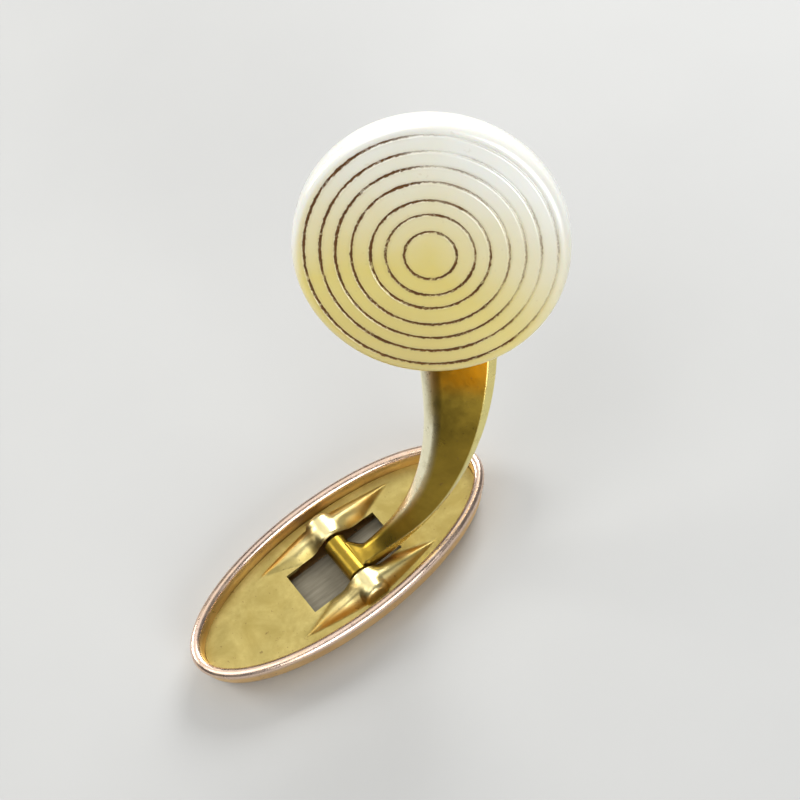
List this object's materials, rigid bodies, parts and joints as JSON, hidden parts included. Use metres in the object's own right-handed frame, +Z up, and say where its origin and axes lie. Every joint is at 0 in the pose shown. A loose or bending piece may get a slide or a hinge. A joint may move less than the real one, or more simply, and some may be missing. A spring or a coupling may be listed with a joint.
{
  "type": "cufflink",
  "caption": "Cufflink with a domed turned disc engraved with concentric rings, a curved tapering gilt post and an oval toggle that folds on a pin.",
  "frame": {"origin": "middle of the toggle's flat back, on the surface that it rests on", "axes": "+X along the toggle, toward the side on which the post leans; +Y across the toggle, along the hinge pin; +Z up, out of the toggle's open face"},
  "size_m": [0.0295, 0.012, 0.0284],
  "materials": {
    "cream_disc": "glossy cream, dark fill in the engraved rings",
    "gilt_post": "gilt, worn satin face and polished bevels",
    "gilt_pin": "gilt, dull",
    "gilt_plate": "gilt, satin, mottled",
    "gilt_shell": "gilt, worn rosy on the rolled rim",
    "spring_steel": "matt grey"
  },
  "bodies": {
    "toggle": {"toggle_shell": "gilt_shell", "toggle_plate": "gilt_plate", "leaf_spring": "spring_steel", "hinge_pin": "gilt_pin"},
    "post": {"post": "gilt_post", "button": "cream_disc"}
  },
  "joints": [
    {"name": "toggle_fold", "type": "hinge", "parent": "toggle", "child": "post", "pos_m": [0.0005, 0, 0.00155], "axis": [0, -1, 0], "range_deg": [0, 90]}
  ]
}
